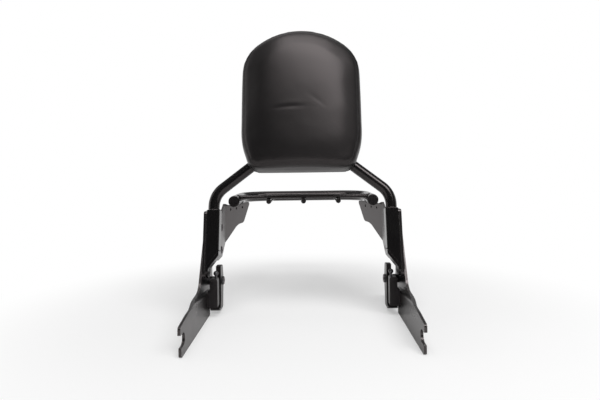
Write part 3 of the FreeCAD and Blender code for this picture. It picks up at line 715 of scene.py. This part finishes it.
def inflate(piece, pressure, swell, held_from):
    """Blow the cover up over its foam: cloth under pressure, its back held and its movement capped."""
    mesh = piece.data
    start = [v.co.copy() for v in mesh.vertices]
    held = [v.index for v in mesh.vertices if upright_coordinates(v.co)[1] > held_from]
    group = piece.vertex_groups.new(name="held")
    group.add(held, 1.0, "REPLACE")
    cloth = piece.modifiers.new("cloth", "CLOTH")
    for key, value in COVER_CLOTH.items():
        setattr(cloth.settings, key, value)
    cloth.settings.uniform_pressure_force = pressure
    cloth.settings.vertex_group_mass = "held"
    cloth.settings.effector_weights.gravity = 0.0
    cloth.point_cache.frame_start = 1
    cloth.point_cache.frame_end = BLOW_FRAMES
    for step in range(1, BLOW_FRAMES + 1):
        bpy.context.scene.frame_set(step)
    view = bpy.context.evaluated_depsgraph_get()
    blown = piece.evaluated_get(view).to_mesh()
    ends = [v.co.copy() for v in blown.vertices]
    piece.evaluated_get(view).to_mesh_clear()
    piece.modifiers.clear()
    piece.vertex_groups.clear()
    bpy.context.scene.frame_set(1)
    moves = []
    for a, b in zip(start, ends):
        move = b - a
        moves.append(move * min(1.0, swell / max(move.length, 1e-9)))
    for vertex, move in zip(mesh.vertices, evened(mesh, moves, EVEN_ROUNDS)):
        vertex.co += move


def evened(mesh, moves, rounds):
    """The moves averaged with their neighbours', so that the cover swells without wrinkles."""
    beside = [[] for _ in moves]
    for edge in mesh.edges:
        a, b = edge.vertices
        beside[a].append(b)
        beside[b].append(a)
    for _ in range(rounds):
        moves = [(move + sum((moves[k] for k in near), Vector()) / max(len(near), 1)) / 2
                 for move, near in zip(moves, beside)]
    return moves


def remesh(piece, size):
    """Give a piece an even mesh, in place of its loose long faces."""
    shape = piece.modifiers.new("remesh", "REMESH")
    shape.mode = "VOXEL"
    shape.voxel_size = size
    view = bpy.context.evaluated_depsgraph_get()
    mesh = bpy.data.meshes.new_from_object(piece.evaluated_get(view))
    piece.modifiers.clear()
    old = piece.data
    piece.data = mesh
    bpy.data.meshes.remove(old)


def drawn_together(x, s, values):
    """Where the tight cover leaves a place of the cut foam."""
    return x * PAD_WIDTH_FIT, PAD_MIDDLE_S + PAD_LIFT + (s - PAD_MIDDLE_S) * values.pad_height_fit


def cover_line(inset, steps, values):
    """A line round the pad at a distance inside the cover's outline."""
    line = inset_outline(rounded_outline(pad_corners(), steps), inset)
    return [Vector(drawn_together(p.x, p.y, values)) for p in line]


def pad_crown(x, s, values):
    """How far the foam is built up under the middle of the cover."""
    across = min(1.0, abs(x) / PAD_HALF_WIDTH)
    along = max(-0.8, min(1.0, (s - PAD_MIDDLE_S) / PAD_HALF_HEIGHT))
    along = along ** 2 if along > 0 else 0.5 * along ** 2
    return values.pad_crown * (1 - across ** 2) * (1 - along)


def pad_relief(x, s, edge, values):
    """How far the cover stands in from its blown shape: the sewn seam and the creases."""
    groove = values.seam_depth * dent(edge - values.seam_inset, 1.6 * MM)
    # A crease across the middle, left of the centre, with a soft ridge above it
    fold_x = (x + 4 * MM) / MM
    fold_s = (s - 320 * MM) / MM + 0.0016 * (fold_x + 10) ** 2 - 0.03 * fold_x
    depth = 0.55 * MM * dent(fold_s, 3.0) - 0.2 * MM * dent(fold_s - 7.0, 5)
    crease = dent(fold_x + 16, 22) * depth
    # A fainter one that slopes down to the right
    side_x = (x - 28 * MM) / MM
    side_s = (s - 330 * MM) / MM + 0.75 * side_x
    faint = 0.2 * MM * dent(side_s, 4.5) * dent(side_x, 13)
    return groove + crease + faint


class BACKREST_OT_pad(bpy.types.Operator):
    """Make the upholstered pad: blown cover, sewn seam and creases"""

    bl_idname = "backrest.pad"
    bl_label = "Pad"

    def execute(self, context):
        values = settings()
        vinyl = material("cover_vinyl")
        bm = merged_copy("backrest_pad")
        pad = finish_piece("pad_cover", bm, vinyl, "frame", ("backrest_pad",))
        remesh(pad, PAD_VOXEL)
        true_sides(pad.data)
        inflate(pad, values.pad_pressure, values.pad_swell, PAD_BACK_N - HELD_TO)
        self.shape(pad, values)
        finish_mesh(pad.data, vinyl)
        self.stitches(pad, values)
        self.hem(values)
        self.staples(values)
        return {"FINISHED"}

    def stitches(self, pad, values):
        """Thread of the seam, lying in its groove."""
        surface = bmesh.new()
        surface.from_mesh(pad.data)
        cover = BVHTree.FromBMesh(surface)
        line = cover_line(values.seam_inset, 24, values)
        run = even_points(line + line[:1], STITCH_PITCH)
        bm = bmesh.new()
        for here, following in zip(run, run[1:]):
            middle = (here + following) / 2
            hit = cover.ray_cast(leaned(middle.x, PAD_FRONT_N - 40 * MM, middle.y), REARWARD)[0]
            if hit is None:
                continue
            along = (leaned(following.x, 0, following.y) - leaned(here.x, 0, here.y)).normalized()
            turn = Matrix((along, REARWARD, along.cross(REARWARD))).transposed().to_4x4()
            size = Matrix.Diagonal((0.40 * STITCH_PITCH, 0.45 * MM, 0.42 * MM, 1.0))
            bmesh.ops.create_uvsphere(bm, u_segments=8, v_segments=6, radius=1.0,
                                      matrix=Matrix.Translation(hit) @ turn @ size)
        surface.free()
        finish_piece("pad_seam_thread", bm, material("black_thread"))

    def hem(self, values):
        """Cover's hem, folded over the back of the board."""
        bm = bmesh.new()
        rings = []
        section = ((2.0, -0.6), (3.2, 0.7), (6.0, 1.2), (14.0, 1.25),
                   (18.6, 1.1), (19.6, 0.5), (19.7, -0.4))
        for inset, rise in section:
            ring = cover_line(inset * MM, 12, values)
            verts = [bm.verts.new(leaned(p.x, PAD_BACK_N + rise * MM, p.y)) for p in ring]
            rings.append([bm.edges.new(pair) for pair in zip(verts, verts[1:] + verts[:1])])
        for outer, inner in zip(rings, rings[1:]):
            bmesh.ops.bridge_loops(bm, edges=outer + inner)
        bmesh.ops.recalc_face_normals(bm, faces=bm.faces)
        finish_piece("pad_hem", bm, material("cover_vinyl"))

    def staples(self, values):
        """Staples that hold the hem to the board."""
        line = cover_line(11 * MM, 24, values)
        run = even_points(line + line[:1], STAPLE_PITCH)
        bm = bmesh.new()
        for k, (here, following) in enumerate(zip(run, run[1:])):
            along = (following - here).normalized()
            along.rotate(Matrix.Rotation(math.radians(9 * math.sin(2.3 * k)), 2))
            reach = along * 4.6 * MM
            crown = PAD_BACK_N + 1.55 * MM
            bends = ((-1, 1.2), (-1, 0.3), (-0.9, 0), (0.9, 0), (1, 0.3), (1, 1.2))
            path = [leaned(here.x + share * reach.x, crown - down * MM, here.y + share * reach.y)
                    for share, down in bends]
            sweep(bm, path, [0.45 * MM] * len(path), 6)
        bmesh.ops.recalc_face_normals(bm, faces=bm.faces)
        finish_piece("pad_staples", bm, material("staple_wire"))

    def shape(self, pad, values):
        """Smooth the blown mesh, divide it once and press the seam and creases in."""
        outline = rounded_outline(pad_corners())
        bm = bmesh.new()
        bm.from_mesh(pad.data)
        front = [v for v in bm.verts if upright_coordinates(v.co)[1] < PAD_BACK_N - 10 * MM]
        every_way = {"factor": 0.5, "use_axis_x": True, "use_axis_y": True, "use_axis_z": True}
        for _ in range(6):
            bmesh.ops.smooth_vert(bm, verts=front, **every_way)
        bmesh.ops.subdivide_edges(bm, edges=bm.edges, cuts=1, use_grid_fill=True, smooth=0.0)
        bmesh.ops.smooth_vert(bm, verts=bm.verts, **every_way)
        bm.normal_update()
        for vertex in bm.verts:
            x, n, s = upright_coordinates(vertex.co)
            facing = -vertex.normal.dot(REARWARD)
            if n > PAD_BACK_N - RELIEF_FROM or facing < 0.2:
                continue
            edge = (nearest_on(outline, Vector((x, s))) - Vector((x, s))).length
            vertex.co -= vertex.normal * pad_relief(x, s, edge, values)
            vertex.co -= REARWARD * pad_crown(x, s, values)
        for vertex in bm.verts:
            x, n, s = upright_coordinates(vertex.co)
            x, s = drawn_together(x, s, values)
            vertex.co = leaned(x, n, s)
        bm.to_mesh(pad.data)
        bm.free()


# The studio
def soft_lamp(name, place, target, size, power, turn):
    """A broad lamp that looks at a target and is turned about its own axis."""
    data = bpy.data.lights.new(name, "AREA")
    data.shape = "RECTANGLE"
    data.size, data.size_y = size
    data.energy = power
    lamp = linked(name, data)
    lamp.location = place
    lamp.rotation_euler = (Vector(target) - lamp.location).to_track_quat("-Z", "Y").to_euler()
    lamp.rotation_euler.rotate_axis("Z", math.radians(turn))


def graded(tree, value, start, end, least=0.0):
    """A value's soft rise from a least level to 1 between two places."""
    ramp = add_node(tree, "ShaderNodeMapRange", interpolation_type="SMOOTHSTEP")
    ramp.inputs["From Min"].default_value = start
    ramp.inputs["From Max"].default_value = end
    ramp.inputs["To Min"].default_value = least
    tree.links.new(value, ramp.inputs["Value"])
    return ramp.outputs["Result"]


def chosen(tree, share, first, second, out):
    """Mix two shaders by a share into the output."""
    blend = tree.nodes.new("ShaderNodeMixShader")
    for socket, source in zip(blend.inputs, (share, first, second)):
        tree.links.new(source, socket)
    tree.links.new(blend.outputs["Shader"], out.inputs["Surface"])


class BACKREST_OT_studio(bpy.types.Operator):
    """Set up the floor, the white surround, the lamps and the camera"""

    bl_idname = "backrest.studio"
    bl_label = "Studio"

    def execute(self, context):
        self.floor()
        self.surround()
        for lamp in LAMPS:
            soft_lamp(*lamp)
        self.camera()
        context.scene.view_settings.view_transform = "Standard"
        return {"FINISHED"}

    def floor(self):
        """A wide flat floor a hair below the part."""
        bm = bmesh.new()
        bmesh.ops.create_grid(bm, x_segments=1, y_segments=1, size=12.0)
        bmesh.ops.translate(bm, verts=bm.verts, vec=(0, 4.0, FLOOR_Z - 0.2 * MM))
        mesh = bpy.data.meshes.new("studio_floor")
        bm.to_mesh(mesh)
        bm.free()
        floor = linked("studio_floor", mesh)
        self.floor_paper()
        mesh.materials.append(material("floor_paper"))

    def floor_paper(self):
        """Pale paper that keeps the shadow near the object and runs out to white for the camera."""
        tree, shader = new_material("floor_paper")
        shader.inputs["Base Color"].default_value = (*settings().floor_colour, 1)
        shader.inputs["Roughness"].default_value = 0.9
        shader.inputs["Specular IOR Level"].default_value = 0.1
        place = tree.nodes.new("ShaderNodeTexCoord")
        away = add_node(tree, "ShaderNodeVectorMath", operation="DISTANCE")
        away.inputs[1].default_value = (0.0, 0.16, FLOOR_Z)
        tree.links.new(place.outputs["Object"], away.inputs[0])
        fade = graded(tree, away.outputs["Value"], WHITE_FROM, WHITE_BY, 0.4)
        split = tree.nodes.new("ShaderNodeSeparateXYZ")
        tree.links.new(place.outputs["Object"], split.inputs["Vector"])
        behind = graded(tree, split.outputs["Y"], 0.1, 0.7)
        path = tree.nodes.new("ShaderNodeLightPath")
        mirrored = add_node(tree, "ShaderNodeMath", operation="MULTIPLY")
        tree.links.new(path.outputs["Is Glossy Ray"], mirrored.inputs[0])
        tree.links.new(behind, mirrored.inputs[1])
        seen = add_node(tree, "ShaderNodeMath", operation="MULTIPLY_ADD")
        tree.links.new(path.outputs["Is Camera Ray"], seen.inputs[0])
        tree.links.new(fade, seen.inputs[1])
        tree.links.new(mirrored.outputs["Value"], seen.inputs[2])
        white = tree.nodes.new("ShaderNodeEmission")
        chosen(tree, seen.outputs["Value"], shader.outputs["BSDF"], white.outputs["Emission"],
               tree.nodes["Material Output"])

    def surround(self):
        """White to the camera, graded from a light back to a dark front for everything else."""
        world = bpy.data.worlds.new("studio")
        bpy.context.scene.world = world
        world.use_nodes = True
        tree = world.node_tree
        tree.nodes.clear()
        place = tree.nodes.new("ShaderNodeTexCoord")
        split = tree.nodes.new("ShaderNodeSeparateXYZ")
        tree.links.new(place.outputs["Generated"], split.inputs["Vector"])
        behind = graded(tree, split.outputs["Y"], -0.3, 0.5)
        low = graded(tree, split.outputs["Z"], 0.5, 0.05, 0.12)
        grade = add_node(tree, "ShaderNodeMath", operation="MULTIPLY_ADD")
        grade.inputs[2].default_value = 0.05
        tree.links.new(behind, grade.inputs[0])
        tree.links.new(low, grade.inputs[1])
        around = add_node(tree, "ShaderNodeBackground", Color=(1, 1, 1, 1))
        tree.links.new(grade.outputs["Value"], around.inputs["Strength"])
        seen = add_node(tree, "ShaderNodeBackground", Color=(1, 1, 1, 1), Strength=1.0)
        path = tree.nodes.new("ShaderNodeLightPath")
        chosen(tree, path.outputs["Is Camera Ray"], around.outputs["Background"],
               seen.outputs["Background"], tree.nodes.new("ShaderNodeOutputWorld"))

    def camera(self):
        """A level camera where the photo's stood."""
        data = bpy.data.cameras.new("photo_camera")
        data.lens = settings().lens
        data.sensor_width = 36.0
        data.sensor_fit = "HORIZONTAL"
        data.clip_start, data.clip_end = 0.02, 60.0
        data.shift_x, data.shift_y = CAMERA_SHIFT
        camera = linked("photo_camera", data)
        upright = Matrix.Rotation(math.radians(90), 4, "X")
        roll = Matrix.Rotation(CAMERA_ROLL, 4, "Z")
        camera.matrix_world = Matrix.Translation(CAMERA_PLACE) @ upright @ roll
        bpy.context.scene.camera = camera


class BACKREST_PT_panel(bpy.types.Panel):
    """Lists the steps and the values in the sidebar"""

    bl_label = "Backrest"
    bl_idname = "BACKREST_PT_panel"
    bl_space_type = "VIEW_3D"
    bl_region_type = "UI"
    bl_category = "Backrest"

    def draw(self, context):
        for step in STEPS:
            self.layout.operator(step.bl_idname)
        for name in BACKREST_PG_settings.__annotations__:
            self.layout.prop(settings(), name)


STEPS = (BACKREST_OT_finishes, BACKREST_OT_plates, BACKREST_OT_fasteners,
         BACKREST_OT_welds, BACKREST_OT_pad, BACKREST_OT_studio)
CLASSES = (BACKREST_PG_settings, *STEPS, BACKREST_PT_panel)


def register():
    for kind in CLASSES:
        bpy.utils.register_class(kind)
    bpy.types.Scene.backrest = bpy.props.PointerProperty(type=BACKREST_PG_settings)


def unregister():
    del bpy.types.Scene.backrest
    for kind in reversed(CLASSES):
        bpy.utils.unregister_class(kind)


def main():
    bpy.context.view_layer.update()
    register()
    for step in STEPS:
        group, action = step.bl_idname.split(".")
        getattr(getattr(bpy.ops, group), action)()


if __name__ == "__main__":
    main()
